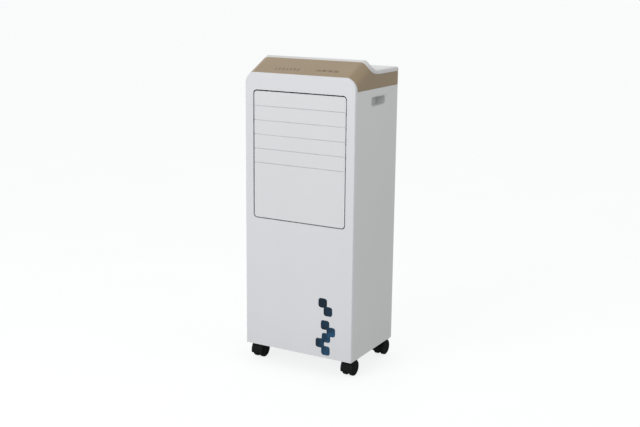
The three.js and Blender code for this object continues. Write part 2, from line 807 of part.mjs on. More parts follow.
function powerBox() {
  const z = DUCT_HIGH + 2 + GAP;
  const lid = alongZ(rounded(20, 130, -30, 40, 4), z, z + 32);
  const ears = join(box(12, 22, -5, 15, z, z + 3), box(128, 138, -5, 15, z, z + 3));
  return part("power_box", lid.add(ears), dark());
}

function cordInlet() {
  const gland = join(
    rod("y", 8, 120, BACK - 0.5, 0, 0),
    rod("y", 11, 117, BACK - WALL - GAP, 0, 0),
  ).subtract(rod("y", 3.6, 110, 140, 0, 0));
  const mesh = part("cord_inlet", gland, black());
  mesh.position.set(110, 0, 242);
  return mesh;
}

// ---------- castors ----------
// Twin-wheel castor about its swivel axis, trailing towards +Y; the axle is pressed into the fork.
const HOOD_FROM = THREE.MathUtils.degToRad(58);
const HOOD_TO = THREE.MathUtils.degToRad(198);
const HOOD_R = WHEEL_R + 3.2;
const HOOD_THICK = 1.9;
const WEB_HALF = 3.4; // half thickness of the web between the wheels
const BOSS_TOP = BASE - 0.8;

function castor(name, x, y) {
  const group = new THREE.Group();
  group.position.set(x, y, 0);
  const arc = (r, from, to) =>
    new THREE.Shape().absarc(CASTOR_TRAIL, WHEEL_R, r, from, to, to < from);
  const rim = arc(HOOD_R, HOOD_FROM, HOOD_TO);
  rim.absarc(CASTOR_TRAIL, WHEEL_R, HOOD_R - HOOD_THICK, HOOD_TO, HOOD_FROM, true);
  const web = arc(HOOD_R - 1, HOOD_FROM + 0.06, HOOD_TO - 0.06);
  web.lineTo(CASTOR_TRAIL, WHEEL_R);
  const fork = join(
    alongX(rim, -17.4, 17.4, 8),
    alongX(web, -WEB_HALF, WEB_HALF, 8),
    rod("z", 8.5, BOSS_TOP - 3.4, BOSS_TOP, 0, 0),
    box(-WEB_HALF, WEB_HALF, -8, 8, WHEEL_R + 8, BOSS_TOP - 1),
    rod("x", 8, -WEB_HALF, WEB_HALF, CASTOR_TRAIL, WHEEL_R),
    rod("z", 4, BASE - 2, BASE + 15, 0, 0),
    rod("x", 3, -16, 16, CASTOR_TRAIL, WHEEL_R),
  );
  group.add(part(name + "_fork", fork, black()));

  const profile = [
    V2(3.3, 4.5),
    V2(WHEEL_R - 1.3, 4.5),
    V2(WHEEL_R, 6),
    V2(WHEEL_R, 13.4),
    V2(WHEEL_R - 1.3, 15.3),
    V2(WHEEL_R - 3.8, 16.6),
    V2(13, 17),
    V2(12, 15.4),
    V2(3.3, 16.4),
    V2(3.3, 4.5),
  ];
  for (const [side, label] of [[-1, "left"], [1, "right"]]) {
    const tyre = solid(new THREE.LatheGeometry(profile, 24).rotateZ(-Math.PI / 2));
    const wheel = part(name + "_wheel_" + label, tyre, black());
    wheel.position.set(0, CASTOR_TRAIL, WHEEL_R);
    if (side < 0) wheel.rotation.z = Math.PI;
    group.add(wheel);
  }
  return group;
}

// ---------- the object ----------
const cooler = new THREE.Group();
cooler.name = "air_cooler";
cooler.add(
  baseTray(),
  frontPanel(),
  sidePanel(-1, "side_panel_left"),
  sidePanel(1, "side_panel_right"),
  rearPanel(),
  controlHood(),
  topCover(),
  handleCup(-1, "handle_cup_left"),
  handleCup(1, "handle_cup_right"),
  outletFrame(),
  blankPanel(),
  decoInlay("deco_inlay_upper", SQUARES_UPPER),
  decoInlay("deco_inlay_lower", SQUARES_LOWER),
  louverLink(),
  vaneLink(),
  swingMotor(),
  scrollHousing(),
  inletRing(),
  impeller(),
  fanMotor(),
  motorShaft(),
  rearGrille(),
  dustFilter(),
  coolingPad(),
  waterDistributor(),
  waterTank(),
  drainPlug(),
  pump(),
  pumpHose(),
  slopeGroup(),
  powerBox(),
  cordInlet(),
);
for (let k = 1; k <= LOUVERS; k++) cooler.add(louver(k));
for (let k = 1; k <= VANES; k++) cooler.add(vane(k));
["front_left", "front_right", "rear_left", "rear_right"].forEach((corner, i) => {
  cooler.add(castor("castor_" + corner, ...castorSpots[i]));
});

export default cooler;
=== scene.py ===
"""Looks for a slim air cooler on castors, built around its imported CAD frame."""

import math

import bmesh
import bpy
from mathutils import Matrix, Vector


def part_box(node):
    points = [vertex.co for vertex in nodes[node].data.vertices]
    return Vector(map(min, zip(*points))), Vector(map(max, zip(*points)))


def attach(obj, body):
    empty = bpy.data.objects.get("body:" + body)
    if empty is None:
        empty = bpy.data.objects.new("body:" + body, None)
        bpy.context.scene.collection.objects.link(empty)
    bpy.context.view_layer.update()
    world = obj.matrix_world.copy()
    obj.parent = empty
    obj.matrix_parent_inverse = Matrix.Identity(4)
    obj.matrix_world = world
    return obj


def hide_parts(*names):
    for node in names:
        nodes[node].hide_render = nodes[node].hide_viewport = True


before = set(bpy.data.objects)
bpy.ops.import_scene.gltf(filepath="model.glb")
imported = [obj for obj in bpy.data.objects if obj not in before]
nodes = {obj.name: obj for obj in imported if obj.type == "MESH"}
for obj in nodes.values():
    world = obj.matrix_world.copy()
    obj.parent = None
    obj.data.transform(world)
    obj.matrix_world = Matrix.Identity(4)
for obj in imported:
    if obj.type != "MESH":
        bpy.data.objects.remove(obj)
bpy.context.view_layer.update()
scene = bpy.context.scene

MM = 0.001
WELD = 0.01 * MM  # vertices nearer to each other than this are one
FLAT = math.radians(0.5)  # faces that meet at less than this are one
CORNERS = ("front_left", "front_right", "rear_left", "rear_right")


# ---------------------------------------------------------------- camera, floor and light
CAMERA_PLACE = (1.4256, -2.5519, 1.1009)
CAMERA_TURNS = (29.242, 13.001, 0.599)  # azimuth, elevation and roll, in degrees
LENS = 59.627
SENSOR = 36
BACKDROP = (0.965, 0.98, 0.98)
ROOM_BELOW = (0.4, 0.4, 0.4)
ROOM_ABOVE = (0.62, 0.625, 0.63)
FLOOR_RADIUS = 40
FLOOR_GLOW = 0.85


def add(name, data):
    """A new object in the scene."""
    thing = bpy.data.objects.new(name, data)
    scene.collection.objects.link(thing)
    return thing


def turned_to(direction):
    """The rotation that turns an object's back, its local Z, to a direction."""
    return Vector(direction).to_track_quat("Z", "Y").to_euler()


def place_camera():
    """The camera that was fitted to the photograph's edges."""
    azimuth, elevation, roll = (math.radians(turn) for turn in CAMERA_TURNS)
    reach, rise = math.cos(elevation), math.sin(elevation)
    back = Vector((math.sin(azimuth) * reach, -math.cos(azimuth) * reach, rise))
    level = Vector((math.cos(azimuth), math.sin(azimuth), 0))
    upright = back.cross(level)
    right = level * math.cos(roll) + upright * math.sin(roll)
    up = back.cross(right)
    data = bpy.data.cameras.new("camera")
    data.sensor_width = SENSOR
    data.lens = LENS
    camera = add("camera", data)
    pose = Matrix((right, up, back)).transposed().to_4x4()
    pose.translation = Vector(CAMERA_PLACE)
    camera.matrix_world = pose
    scene.camera = camera


def paint_world():
    """A white backdrop for the camera, and for the object a grey room that is lighter overhead."""
    world = bpy.data.worlds.new("studio")
    scene.world = world
    world.use_nodes = True
    make = world.node_tree.nodes.new
    join = world.node_tree.links.new
    room = world.node_tree.nodes["Background"]
    direction = make("ShaderNodeTexCoord")
    split = make("ShaderNodeSeparateXYZ")
    height = make("ShaderNodeMapRange")
    dome = make("ShaderNodeValToRGB")
    backdrop = make("ShaderNodeBackground")
    seen = make("ShaderNodeLightPath")
    either = make("ShaderNodeMixShader")
    height.inputs["From Min"].default_value = -1
    backdrop.inputs["Color"].default_value = (*BACKDROP, 1)
    stops = zip(dome.color_ramp.elements, (0.2, 0.8), (ROOM_BELOW, ROOM_ABOVE))
    for stop, position, color in stops:
        stop.position = position
        stop.color = (*color, 1)
    join(direction.outputs["Generated"], split.inputs[0])
    join(split.outputs["Z"], height.inputs["Value"])
    join(height.outputs[0], dome.inputs[0])
    join(dome.outputs["Color"], room.inputs["Color"])
    join(seen.outputs["Is Camera Ray"], either.inputs[0])
    join(room.outputs[0], either.inputs[1])
    join(backdrop.outputs[0], either.inputs[2])
    join(either.outputs[0], world.node_tree.nodes["World Output"].inputs["Surface"])


def softbox(name, place, target, size, power):
    """A square studio light at a place, turned to a target; lengths in metres, power in watts."""
    data = bpy.data.lights.new(name, "AREA")
    data.shape = "SQUARE"
    data.size = size
    data.energy = power
    light = add(name, data)
    light.visible_camera = False
    light.location = place
    light.rotation_euler = turned_to(Vector(place) - Vector(target))


def sun(name, direction, strength, width):
    """A far light that stands in a direction and looks width degrees wide."""
    data = bpy.data.lights.new(name, "SUN")
    data.energy = strength
    data.angle = math.radians(width)
    add(name, data).rotation_euler = turned_to(direction)


def light_room():
    """The room, a key light in front, a fill over the right side, and a faint wide sun behind."""
    scene.view_settings.view_transform = "Standard"
    paint_world()
    softbox("key", place=(-0.8, -2.9, 1.45), target=(0, 0, 0.55), size=1.6, power=38)
    softbox("side_fill", place=(2.2, 0.1, 2.1), target=(0.1, 0, 0.7), size=1.4, power=7)
    sun("back_fill", direction=(-0.5, 1, 0.45), strength=0.45, width=60)


def lay_floor():
    """Pale paper: it takes a soft shadow, but sends no light back to the object."""
    mesh = bpy.data.meshes.new("floor")
    shape = bmesh.new()
    bmesh.ops.create_circle(shape, cap_ends=True, segments=96, radius=FLOOR_RADIUS)
    shape.to_mesh(mesh)
    shape.free()
    floor = add("floor", mesh)
    floor.visible_diffuse = False
    floor.visible_glossy = False
    paper = Finish("floor_paper", (0.2, 0.2, 0.2), 0.9, specular_ior_level=0.0)
    paper.set("Emission Color", (*BACKDROP, 1))
    paper.set("Emission Strength", FLOOR_GLOW)
    clouds = [(0.3, (0.195, 0.2, 0.2)), (0.7, (0.205, 0.205, 0.205))]
    paper.base_from(paper.ramp(paper.noise(3), clouds))
    mesh.materials.append(paper.material)


# ---------------------------------------------------------------- materials
DUSTY_BELOW = 0.045  # metres above the floor, with full dust below and none above
CLEAN_ABOVE = 0.16


class Finish:
    """A procedural material: one Principled shader and the few node chains that feed it."""

    def __init__(self, name, base_color, roughness, **sockets):
        self.material = bpy.data.materials.new(name)
        self.material.use_nodes = True
        self.tree = self.material.node_tree
        self.shader = self.tree.nodes["Principled BSDF"]
        self.set("Base Color", (*base_color, 1))
        self.set("Roughness", roughness)
        for key, value in sockets.items():
            self.set(key.replace("_", " ").title().replace("Ior", "IOR"), value)
        self.place = self.make("TexCoord").outputs["Object"]

    def set(self, socket, value):
        self.shader.inputs[socket].default_value = value

    def make(self, kind, **settings):
        node = self.tree.nodes.new("ShaderNode" + kind)
        for key, value in settings.items():
            setattr(node, key, value)
        return node

    def plug(self, value, socket):
        """Links another node's output to a socket, or sets the socket to a number or a colour."""
        if isinstance(value, bpy.types.NodeSocket):
            self.tree.links.new(value, socket)
        elif socket.type == "RGBA":
            socket.default_value = (*value, 1)
        else:
            socket.default_value = value

    def feed(self, node, **inputs):
        for key, value in inputs.items():
            self.plug(value, node.inputs[key.replace("_", " ")])
        return node

    def along(self, axis):
        """How far a point lies along the object's X, Y or Z."""
        return self.feed(self.make("SeparateXYZ"), Vector=self.place).outputs[axis]

    def stretched(self, scale, turn=(0, 0, 0)):
        mapping = self.make("Mapping")
        return self.feed(mapping, Vector=self.place, Scale=scale, Rotation=turn).outputs[0]

    def noise(self, scale, detail=2.0, rough=0.5, at=None):
        node = self.make("TexNoise")
        self.feed(node, Vector=at or self.place, Scale=scale, Detail=detail, Roughness=rough)
        return node.outputs["Fac"]

    def cells(self, scale, feature="F1", output="Distance"):
        node = self.make("TexVoronoi", feature=feature)
        self.feed(node, Vector=self.place, Scale=scale)
        return node.outputs[output]

    def waves(self, scale, direction, distortion=0.0, at=None):
        node = self.make("TexWave", bands_direction=direction)
        self.feed(node, Vector=at or self.place, Scale=scale, Distortion=distortion)
        return node.outputs["Fac"]

    def ramp(self, value, stops):
        """Colours, or grey levels, by position along a value."""
        node = self.make("ValToRGB")
        self.tree.links.new(value, node.inputs[0])
        elements = node.color_ramp.elements
        while len(elements) < len(stops):
            elements.new(0.5)
        for element, (position, color) in zip(elements, stops):
            element.position = position
            element.color = (*color, 1) if isinstance(color, tuple) else (color,) * 3 + (1,)
        return node.outputs["Color"]

    def math(self, operation, a, b):
        node = self.make("Math", operation=operation)
        self.plug(a, node.inputs[0])
        self.plug(b, node.inputs[1])
        return node.outputs[0]

    def mix(self, amount, a, b, blend="MIX"):
        node = self.make("Mix", data_type="RGBA", blend_type=blend)
        factor, first, second = (node.inputs[i] for i in (0, 6, 7))  # those of a colour mix
        self.plug(amount, factor)
        self.plug(a, first)
        self.plug(b, second)
        return node.outputs[2]

    def base_from(self, color):
        self.tree.links.new(color, self.shader.inputs["Base Color"])

    def rough_from(self, value, low, high):
        span = self.feed(self.make("MapRange"), Value=value, To_Min=low, To_Max=high)
        self.tree.links.new(span.outputs[0], self.shader.inputs["Roughness"])

    def bump(self, height, depth, strength=1.0):
        """Adds relief, its depth in metres, on top of the relief that is there."""
        node = self.feed(self.make("Bump"), Height=height, Distance=depth, Strength=strength)
        before = self.shader.inputs["Normal"]
        if before.is_linked:
            self.tree.links.new(before.links[0].from_socket, node.inputs["Normal"])
        self.tree.links.new(node.outputs[0], before)


def tinted(color, factor):
    """A colour made darker or lighter."""
    return tuple(min(1, channel * factor) for channel in color)


def moulded(name, color, low=0.3, high=0.42, grain=0.012 * MM, drift=0.02, dust=0.0):
    """Injection-moulded plastic: fine spark grain, faint flow marks and a little uneven gloss."""
    made = Finish(name, color, low)
    flow = made.noise(4, detail=3, at=made.stretched((1, 1, 0.25)))
    shade = made.ramp(flow, [(0.3, tinted(color, 1 - drift)), (0.7, tinted(color, 1 + drift))])
    if dust:
        near_floor = made.ramp(made.along("Z"), [(DUSTY_BELOW, dust), (CLEAN_ABOVE, 0.0)])
        patches = made.math("MULTIPLY", near_floor, made.noise(38, detail=5, rough=0.7))
        shade = made.mix(patches, shade, tinted(color, 0.72))
    made.base_from(shade)
    made.rough_from(made.noise(90, detail=4, rough=0.6), low, high)
    made.bump(made.noise(1900, rough=0.6), depth=grain)
    made.bump(made.noise(7), depth=0.12 * MM, strength=0.25)
    return made


def champagne_lacquer(name, color):
    """Metallic lacquer: aluminium flake under a satin clear coat."""
    made = Finish(name, color, 0.36, metallic=0.4, coat_weight=0.08, coat_roughness=0.22)
    made.set("Specular IOR Level", 0.25)
    flake = made.cells(2600, output="Color")
    sparkle = made.mix(0.22, color, flake, "SOFT_LIGHT")
    drift = made.ramp(made.noise(9), [(0.3, 0.95), (0.7, 1.0)])
    made.base_from(made.mix(1.0, sparkle, drift, "MULTIPLY"))
    made.rough_from(made.noise(120, detail=3), 0.32, 0.44)
    made.bump(made.cells(2600), depth=0.012 * MM)
    made.bump(made.noise(160, detail=3), depth=0.02 * MM, strength=0.5)
    return made


def inlay_gloss(name):
    """Deep blue acrylic with fine glitter, its blue going from near black towards the upper left to a
    clear blue towards the lower right of the inlay.
    """
    made = Finish(name, (0.02, 0.08, 0.15), 0.16, coat_weight=0.15, coat_roughness=0.08)
    made.set("Specular IOR Level", 0.3)
    across = made.math("MULTIPLY", made.along("X"), 9.0)
    slant = made.math("SUBTRACT", across, made.math("MULTIPLY", made.along("Z"), 3.0))
    cloud = made.math("ADD", slant, made.math("MULTIPLY", made.noise(48, detail=3), 0.9))
    blues = [
        (0.08, (0.004, 0.018, 0.036)),
        (0.35, (0.008, 0.042, 0.085)),
        (0.6, (0.018, 0.09, 0.19)),
        (0.85, (0.04, 0.15, 0.31)),
    ]
    shade = made.ramp(made.math("ADD", cloud, -0.55), blues)
    glitter = made.ramp(made.cells(900), [(0.05, 0.6), (0.16, 0.0)])
    made.base_from(made.mix(made.math("MULTIPLY", glitter, 0.25), shade, (0.3, 0.5, 0.7)))
    made.rough_from(made.noise(300, detail=3), 0.12, 0.24)
    made.bump(made.noise(420, detail=3), depth=0.01 * MM)
    return made


def scuffed_black(name, color=(0.016, 0.017, 0.018), low=0.34, high=0.6):
    """Black nylon with moulding grain and pale scuffs."""
    made = Finish(name, color, low, specular_ior_level=0.1, ior=1.3)
    scuffs = made.ramp(made.noise(230, detail=8, rough=0.75), [(0.58, 0.0), (0.74, 0.35)])
    made.base_from(made.mix(scuffs, tinted(color, 0.8), tinted(color, 3.0)))
    made.rough_from(made.noise(140, detail=5, rough=0.7), low, high)
    made.bump(made.noise(1500, detail=3, rough=0.6), depth=0.03 * MM)
    return made


def metal(name, color, low, high, brushed=(1, 1, 1)):
    """Bare metal with fine streaks, which brushed draws out along an axis."""
    made = Finish(name, color, low, metallic=1.0)
    streak = made.noise(900, detail=4, rough=0.6, at=made.stretched(brushed))
    made.base_from(made.ramp(streak, [(0.3, tinted(color, 0.86)), (0.7, tinted(color, 1.08))]))
    made.rough_from(streak, low, high)
    made.bump(streak, depth=0.015 * MM)
    return made


def honeycomb(name):
    """Fluted cellulose pad: crossing slanted channels with soft brown fibre, and painted shade that
    darkens the channels' bottoms.
    """
    made = Finish(name, (0.4, 0.26, 0.12), 0.9)
    up_slant, down_slant = (
        made.waves(70, "Z", 0.4, at=made.stretched((1, 1, 1), (0, math.radians(tilt), 0)))
        for tilt in (30, -30)
    )
    cell = made.math("MULTIPLY", up_slant, down_slant)
    fibre = made.noise(700, detail=6, rough=0.7)
    # Painted shade: the pad's brown goes near black down in the channels, where shade falls.
    depth = made.ramp(cell, [(0.05, (0.09, 0.05, 0.02)), (0.6, (0.46, 0.31, 0.15))])
    made.base_from(made.mix(0.3, depth, made.ramp(fibre, [(0.3, 0.1), (0.7, 0.9)]), "SOFT_LIGHT"))
    made.bump(cell, depth=3 * MM)
    made.bump(fibre, depth=0.2 * MM)
    return made


def woven_net(name):
    """Nylon dust net: square weave of dark threads."""
    made = Finish(name, (0.05, 0.055, 0.06), 0.65)
    weave = made.math("MAXIMUM", made.waves(420, "X"), made.waves(420, "Z"))
    made.base_from(made.ramp(weave, [(0.45, (0.012, 0.013, 0.014)), (0.85, (0.13, 0.14, 0.15))]))
    made.bump(weave, depth=0.3 * MM)
    return made


def circuit_green(name):
    """Solder mask with branching tracks."""
    made = Finish(name, (0.02, 0.13, 0.06), 0.35)
    tracks = made.cells(160, "DISTANCE_TO_EDGE")
    made.base_from(made.ramp(tracks, [(0.04, (0.05, 0.22, 0.1)), (0.07, (0.016, 0.1, 0.045))]))
    made.bump(tracks, depth=0.03 * MM)
    return made


def matt_ink(name, color):
    """Printing ink that lies a little unevenly."""
    made = Finish(name, color, 0.5)
    cover = made.noise(2200, detail=4, rough=0.7)
    made.base_from(made.ramp(cover, [(0.3, tinted(color, 0.8)), (0.7, tinted(color, 1.25))]))
    made.rough_from(cover, 0.42, 0.6)
    return made


def frosted(name, color):
    """Milky plastic: light passes a little way in."""
    made = moulded(name, color, 0.38, 0.5, grain=0.03 * MM)
    made.set("Subsurface Weight", 0.25)
    made.set("Subsurface Radius", (4 * MM, 4 * MM, 4 * MM))
    return made


# Lit and shaded copies of one white ABS, tinted apart to follow how the light falls on each face. The
# front copy has a faint blue cast. The side copy, also used on the rear panel and the handle cups, is
# darker and greenish: painted shade. The lid copy is darker and warmer: painted shade.
white = moulded("white_abs", (0.79, 0.8, 0.825), dust=0.2)
white_lid_painted_shade = moulded("white_abs_lid_painted_shade", (0.72, 0.715, 0.705), 0.3, 0.4)
white_blade = moulded("white_abs_louver", (0.79, 0.8, 0.82), 0.34, 0.46)
white_side_painted_shade = moulded("white_abs_side_painted_shade", (0.76, 0.775, 0.765), dust=0.2)
grille_white = moulded("white_grille", (0.74, 0.75, 0.76), 0.4, 0.52)
gold = champagne_lacquer("champagne_lacquer", (0.405, 0.312, 0.204))
key_gold = champagne_lacquer("champagne_key", (0.39, 0.3, 0.197))
navy = inlay_gloss("navy_acrylic")
# The duct grey is kept dark so that the outlet frame reads dark in the gaps round the louvres: painted
# shade laid over the ducts' own grey.
duct_grey_and_gap_shade = moulded("grey_duct", (0.2, 0.205, 0.21), 0.45, 0.6, drift=0.05)
base_dark = moulded("dark_base", (0.05, 0.053, 0.057), 0.45, 0.6, drift=0.08)
blade_black = scuffed_black("black_blade")
castor_black = scuffed_black("castor_nylon", (0.017, 0.018, 0.0175), 0.4, 0.62)
tread_black = scuffed_black("wheel_tread", (0.014, 0.015, 0.0145), 0.5, 0.75)
zinc = metal("zinc_plate", (0.55, 0.56, 0.58), 0.25, 0.45)
shaft = metal("ground_steel", (0.6, 0.6, 0.61), 0.15, 0.3, brushed=(1, 12, 1))
pad_brown = honeycomb("cellulose_pad")
net = woven_net("dust_net")
board = circuit_green("circuit_board")
print_ink = matt_ink("print_ink", (0.03, 0.022, 0.016))
tank_milk = frosted("tank_polypropylene", (0.62, 0.66, 0.68))
hose_milk = frosted("hose_silicone", (0.55, 0.6, 0.58))


# ---------------------------------------------------------------- soft edges and new pieces
def flatten(piece):
    """Normals weighted by area, so that flat faces look flat up to their rounded edges."""
    normals = piece.modifiers.new("normals", "WEIGHTED_NORMAL")
    normals.mode = "FACE_AREA"
    normals.weight = 100
    normals.keep_sharp = False


def soften(piece, width, segments, crease):
    """Rounds the edges that are sharper than crease degrees, by a width in millimetres."""
    edge = piece.modifiers.new("edge", "BEVEL")
    edge.width = width * MM
    edge.segments = segments
    edge.limit_method = "ANGLE"
    edge.angle_limit = math.radians(crease)
    flatten(piece)


def from_shape(name, shape, finish, body):
    """Turns a bmesh into a smooth piece that rides on a body."""
    mesh = bpy.data.meshes.new(name)
    bmesh.ops.recalc_face_normals(shape, faces=shape.faces)
    shape.to_mesh(mesh)
    shape.free()
    mesh.materials.append(finish.material)
    for face in mesh.polygons:
        face.use_smooth = True
    piece = add(name, mesh)
    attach(piece, body)
    return piece


# ---------------------------------------------------------------- the CAD nodes' finishes
CREASE = 31  # degrees: a sharper edge than this is rounded


def dress(names, finish, bevel=0.0, segments=2):
    """Gives CAD nodes a finish, and rounds their edges by a bevel width in millimetres."""
    for name in names:
        node = nodes[name]
        node.data.materials.clear()
        node.data.materials.append(finish.material)
        for face in node.data.polygons:
            face.use_smooth = True
        if bevel:
            weld = node.modifiers.new("weld", "WELD")
            weld.merge_threshold = WELD
            soften(node, bevel, segments, CREASE)


def each(pattern, count):
    """The names that a pattern gives for 1 up to count."""
    return [pattern.format(k) for k in range(1, count + 1)]


def dress_nodes():
    dress(["front_panel"], white, 0.9, 3)
    # The sides, the rear and the handle cups take the darker, greenish copy of the white, which is
    # painted shade.
    dress(["side_panel_left", "side_panel_right"], white_side_painted_shade, 0.6)
    dress(["rear_panel"], white_side_painted_shade, 0.5)
    dress(["handle_cup_left", "handle_cup_right"], white_side_painted_shade, 0.5)
    dress(["control_hood"], gold, 0.5)
    dress(each("key_{}", 4), key_gold, 0.25)
    dress(["blank_panel"] + each("louver_{}", 5), white_blade, 0.35)
    dress(["deco_inlay_upper", "deco_inlay_lower"], navy, 0.15)
    # The outlet frame's dark grey stands in for the shade in the window's gaps: painted shade.
    dress(["outlet_frame", "scroll_housing", "inlet_ring"], duct_grey_and_gap_shade, 0.3)
    dress(["louver_link", "vane_link", "water_distributor"], duct_grey_and_gap_shade, 0.2)
    dress(["base_tray", "power_box", "pump", "drain_plug", "cord_inlet"], base_dark, 0.3)
    dress(each("vane_{}", 5) + ["impeller"], blade_black, 0.2)
    dress(["rear_grille"], grille_white, 0.3)
    dress(["cooling_pad"], pad_brown, 0.6)
    dress(["dust_filter"], net, 0.3)
    dress(["water_tank"], tank_milk, 0.5)
    dress(["pump_hose"], hose_milk)
    dress(["swing_motor", "fan_motor"], zinc, 0.4)
    dress(["motor_shaft"], shaft, 0.2)
    dress(["control_board"], board, 0.1)
    dress([f"castor_{corner}_fork" for corner in CORNERS], castor_black, 0.5)
    for side in ("left", "right"):
        dress([f"castor_{corner}_wheel_{side}" for corner in CORNERS], tread_black, 0.5)


# ---------------------------------------------------------------- the lid
LID_FILLET = 6.5 * MM
LID_CORNER = 3 * MM  # the CAD lid's upright rear edges
NEAR = 0.1 * MM  # a vertex this close to a side lies on it
UPRIGHT = 0.05  # the normal of an upright face rises less than this
LOOKS_UP = 0.4  # and that of a face that looks up rises more than this


def merge(shape):
    """Joins vertices that share a place and faces that share a plane."""
    bmesh.ops.remove_doubles(shape, verts=shape.verts, dist=WELD)
    bmesh.ops.dissolve_limit(shape, angle_limit=FLAT, verts=shape.verts, edges=shape.edges)


def square_corners(shape, high):
    """Draws each rounded rear corner's outer arc out to one upright edge."""
    hair = 1e-6
    for v in shape.verts:
        side = math.copysign(high.x, v.co.x)
        centre = Vector((side - math.copysign(LID_CORNER, side), high.y - LID_CORNER))
        from_centre = v.co.xy - centre
        beyond = from_centre.x * side >= -hair and from_centre.y >= -hair
        if beyond and from_centre.length > 0.9 * LID_CORNER:
            v.co.x = side
            v.co.y = high.y
    merge(shape)


def rounded_lid():
    """The lid with a soft edge round its outside, where the CAD shell has a plain corner."""
    shape = bmesh.new()
    shape.from_mesh(nodes["top_cover"].data)
    merge(shape)
    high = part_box("top_cover")[1]
    square_corners(shape, high)

    def outside(edge):
        """Whether the edge lies between an outer upright face and a face that looks up."""
        if len(edge.link_faces) != 2 or edge.calc_face_angle_signed() < math.radians(40):
            return False
        on_side = all(high.x - abs(v.co.x) < NEAR for v in edge.verts)
        on_back = all(high.y - v.co.y < NEAR for v in edge.verts)
        upright, level = sorted(edge.link_faces, key=lambda face: abs(face.normal.z))
        return (on_side or on_back) and abs(upright.normal.z) < UPRIGHT and level.normal.z > LOOKS_UP

    bmesh.ops.bevel(
        shape,
        geom=[edge for edge in shape.edges if outside(edge)],
        offset=LID_FILLET,
        segments=6,
        profile=0.5,
        affect="EDGES",
        clamp_overlap=False,
    )
    bmesh.ops.remove_doubles(shape, verts=shape.verts, dist=0.05 * MM)
    bmesh.ops.dissolve_degenerate(shape, edges=shape.edges, dist=0.02 * MM)
    # The lid takes the darker, warmer copy of the white, which is painted shade.
    piece = from_shape("lid_shell", shape, white_lid_painted_shade, "cabinet")
    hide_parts("top_cover")
    soften(piece, 0.4, segments=2, crease=50)


# ---------------------------------------------------------------- icons printed on the slope and the keys
SLOPE = math.radians(26)  # the hood's front slope
SLOPE_AREA = (120 * MM, 30 * MM)  # how far it goes on sideways and up and down from the keys' row
CAP_DEPTH = 0.05 * MM  # a key's outer face lies within this of its top
INK_HEIGHT = 0.05 * MM
INK_GAP = 0.01 * MM  # keeps the ink's underside off the lacquer
KEY_ICON = (2.85, 1.0)  # an icon's size and stroke, in millimetres
ROW_ICON = (2.75, 0.95)
ROW_START = -86  # the first indicator, from the cabinet's middle
ROW_PITCH = 11.6
ROW_LEVEL = -1  # the indicators' middle, up the slope from the keys' middle
BAR_HALF = 3  # half the length of the lamp bar under an indicator
BAR_EDGES = (-7.4, -6)  # its two long edges, up the slope from the keys' middle


class Print:
    """Thin ink shapes on a plane: its origin, and the directions across and up in it."""

    def __init__(self, origin, across, up):
        self.origin = origin
        self.across = across
        self.up = up
        self.shape = bmesh.new()

    def at(self, u, v):
        return self.shape.verts.new(self.origin + (self.across * u + self.up * v) * MM)

    def band(self, points, width, closed=False):
        """A stroke of even width along points (u, v), in millimetres."""
        count = len(points)
        sides = []
        for i, (u, v) in enumerate(points):
            before = points[(i - 1) % count] if closed or i else points[i]
            after = points[(i + 1) % count] if closed or i < count - 1 else points[i]
            along = Vector((after[0] - before[0], after[1] - before[1])).normalized()
            half = Vector((-along.y, along.x)) * width / 2
            sides.append((self.at(u + half.x, v + half.y), self.at(u - half.x, v - half.y)))
        for i in range(count if closed else count - 1):
            (a, b), (c, d) = sides[i], sides[(i + 1) % count]
            self.shape.faces.new((a, b, d, c))

    def blob(self, points):
        self.shape.faces.new([self.at(u, v) for u, v in points])

    def piece(self, name, body, slot):
        normal = self.across.cross(self.up)
        raised = bmesh.ops.extrude_face_region(self.shape, geom=self.shape.faces[:])
        tops = [v for v in raised["geom"] if isinstance(v, bmesh.types.BMVert)]
        bmesh.ops.translate(self.shape, verts=tops, vec=normal * INK_HEIGHT)
        from_shape(name, self.shape, print_ink, body)


def spread(low, high, steps):
    """Numbers from low to high in even steps."""
    return [low + (high - low) * i / steps for i in range(steps + 1)]


def heading(angle):
    """A direction (x, y), from an angle in degrees."""
    return math.cos(math.radians(angle)), math.sin(math.radians(angle))


def arc(u, v, radius, start, end, steps, squash=1.0, turn=0.0):
    """Points of an arc about (u, v), angles in degrees; squash and turn make it an ellipse's."""
    c, s = heading(turn)
    points = []
    for angle in spread(start, end, steps):
        x, y = heading(angle)
        x *= radius
        y *= radius * squash
        points.append((u + x * c - y * s, v + x * s + y * c))
    return points


def circle(u, v, radius, count=16, squash=1.0, turn=0.0):
    """Points all round a circle or an ellipse."""
    return arc(u, v, radius, 0, 360 - 360 / count, count - 1, squash, turn)


# Each icon is drawn about (u, v), by its size and its strokes' width. The fan is solid, without strokes.
def icon_power(ink, u, v, size, width):
    ink.band(arc(u, v, size, 125, 415, 24), width)
    ink.band([(u, v + 0.25 * size), (u, v + 1.2 * size)], width)


def icon_fan(ink, u, v, size, width):
    for turn in (90, 210, 330):
        c, s = heading(turn)
        middle = (u + 0.62 * size * c, v + 0.62 * size * s)
        ink.blob(circle(*middle, 0.42 * size, 12, squash=0.62, turn=turn + 25))
    ink.blob(circle(u, v, 0.16 * size))


def icon_swing(ink, u, v, size, width):
    for lift in (-0.55, 0.1, 0.75):
        wave = [(t, lift + 0.2 * math.sin(3.4 * t)) for t in spread(-1, 1, 12)]
        ink.band([(u + size * x, v + size * y) for x, y in wave], width)


def icon_timer(ink, u, v, size, width):
    ink.band(circle(u, v, size, 20), width, closed=True)
    ink.band([(u, v + 0.62 * size), (u, v), (u + 0.45 * size, v)], width)


def icon_drop(ink, u, v, size, width):
    sides = arc(u, v - 0.25 * size, 0.72 * size, -215, 35, 16)
    ink.band(sides + [(u, v + 1.05 * size)], width, closed=True)


